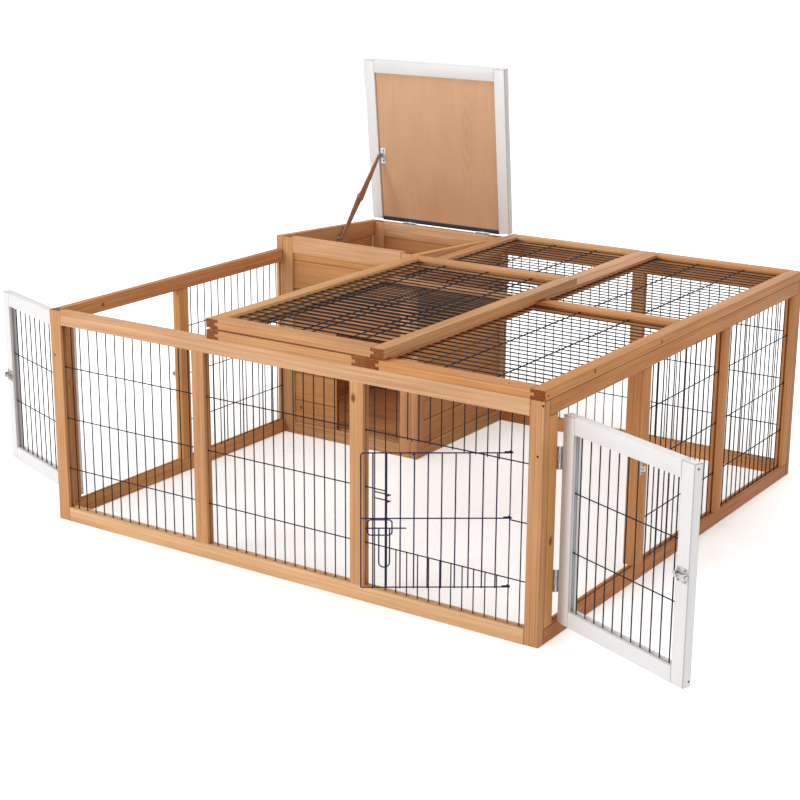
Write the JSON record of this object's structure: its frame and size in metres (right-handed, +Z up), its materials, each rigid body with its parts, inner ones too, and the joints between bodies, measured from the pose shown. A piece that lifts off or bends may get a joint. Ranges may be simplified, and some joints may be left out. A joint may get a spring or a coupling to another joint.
{
  "type": "guinea pig hutch",
  "caption": "Low square timber and wire mesh pet run with a boarded shelter box in one corner, hinged doors, a folding roof panel and a lid held open by a stay.",
  "frame": {"origin": "middle of the front bottom rail's underside, on the floor", "axes": "+X to the right along the front wall, +Y from the front wall to the back wall, +Z up"},
  "size_m": [1.787, 1.3255, 0.8727],
  "materials": {
    "fir": "clear stained fir",
    "board": "clear stained boards",
    "plywood": "bare plywood",
    "white_paint": "white painted wood",
    "coated_wire": "dark coated steel wire",
    "zinc": "zinc plated steel",
    "bronze": "bronze coated steel",
    "strip": "black weather strip"
  },
  "bodies": {
    "run": {"back_bottom_rail": "fir", "back_top_rail": "fir", "back_wall_mesh": "coated_wire", "back_wall_posts": "fir", "box_back_boards": "board", "box_bottom_rails": "fir", "box_cross_rails": "fir", "box_floor": "board", "box_front_boards": "board", "box_left_boards": "board", "box_right_boards": "board", "box_sloped_rails": "fir", "box_stiles": "fir", "corner_plate": "zinc", "door_bay_mesh": "coated_wire", "door_hinge_post_leaves": "zinc", "front_bottom_rail": "fir", "front_corner_posts": "fir", "front_mid_posts": "fir", "front_top_rail": "fir", "front_wall_mesh": "coated_wire", "latch_catches": "zinc", "left_bottom_rail": "fir", "left_top_rail": "fir", "left_wall_mesh": "coated_wire", "left_wall_posts": "fir", "lid_hinge_wall_leaves": "zinc", "middle_roof_frame": "fir", "middle_roof_mesh": "coated_wire", "right_bottom_rail": "fir", "right_jamb_post": "fir", "right_roof_frame": "fir", "right_roof_mesh": "coated_wire", "right_top_rail": "fir", "right_wall_mesh": "coated_wire", "right_wall_posts": "fir", "roof_hinge_lower_leaves": "zinc", "stay_wall_bracket": "zinc"},
    "right_door": {"right_door_frame": "white_paint", "right_door_mesh": "coated_wire", "right_door_hinge_leaves": "zinc", "right_latch_plate": "zinc"},
    "right_latch_bolt": {"right_latch_bolt": "zinc"},
    "left_door": {"left_door_frame": "white_paint", "left_door_mesh": "coated_wire", "left_door_hinge_leaves": "zinc", "left_latch_plate": "zinc"},
    "left_latch_bolt": {"left_latch_bolt": "zinc"},
    "wire_door": {"wire_door": "coated_wire"},
    "wire_door_bolt": {"wire_door_bolt": "coated_wire"},
    "lid": {"lid_frame": "white_paint", "lid_panel": "plywood", "lid_strip": "strip", "lid_hinge_lid_leaves": "zinc", "stay_lid_bracket": "zinc"},
    "stay_lower_arm": {"stay_lower_arm": "bronze"},
    "stay_upper_arm": {"stay_upper_arm": "bronze"},
    "folding_roof": {"folding_roof_frame": "fir", "folding_roof_mesh": "coated_wire", "roof_hinge_upper_leaves": "zinc"}
  },
  "joints": [
    {"name": "right_door_hinge", "type": "hinge", "parent": "run", "child": "right_door", "pos_m": [0.584, 0.041, 0.2275], "axis": [0, 0, -1], "range_deg": [-112, 63]},
    {"name": "right_latch_slide", "type": "slide", "parent": "right_door", "child": "right_latch_bolt", "axis": [0.9272, -0.3746, 0], "range_m": [0, 0.01]},
    {"name": "left_door_hinge", "type": "hinge", "parent": "run", "child": "left_door", "pos_m": [-0.584, 0.041, 0.2275], "axis": [0, 0, 1], "range_deg": [-70, 105]},
    {"name": "left_latch_slide", "type": "slide", "parent": "left_door", "child": "left_latch_bolt", "axis": [-0.9397, 0.342, 0], "range_m": [0, 0.01]},
    {"name": "wire_door_hinge", "type": "hinge", "parent": "run", "child": "wire_door", "pos_m": [0.51167, -0.0011, 0.225], "axis": [0, 0, 1], "range_deg": [-35, 55]},
    {"name": "wire_door_bolt_slide", "type": "slide", "parent": "wire_door", "child": "wire_door_bolt", "axis": [-0.8192, -0.5736, 0], "range_m": [0, 0.02]},
    {"name": "lid_hinge", "type": "hinge", "parent": "run", "child": "lid", "pos_m": [-0.3775, 1.15315, 0.4656], "axis": [1, 0, 0], "range_deg": [0, 80.4]},
    {"name": "stay_wall_pivot", "type": "hinge", "parent": "run", "child": "stay_lower_arm", "pos_m": [-0.55155, 0.97575, 0.445], "axis": [1, 0, 0], "range_deg": [-62.22, 0]},
    {"name": "stay_lid_pivot", "type": "hinge", "parent": "lid", "child": "stay_upper_arm", "pos_m": [-0.54845, 1.13162, 0.63125], "axis": [1, 0, 0], "range_deg": [0, 23.69]},
    {"name": "folding_roof_hinge", "type": "hinge", "parent": "run", "child": "folding_roof", "pos_m": [-0.1655, 0.35275, 0.47525], "axis": [0, -1, 0], "range_deg": [0, 179.5]}
  ],
  "couplings": [
    {"joint": "stay_wall_pivot", "follows": "lid_hinge", "ratio": -0.7739},
    {"joint": "stay_lid_pivot", "follows": "lid_hinge", "ratio": 0.2947}
  ]
}
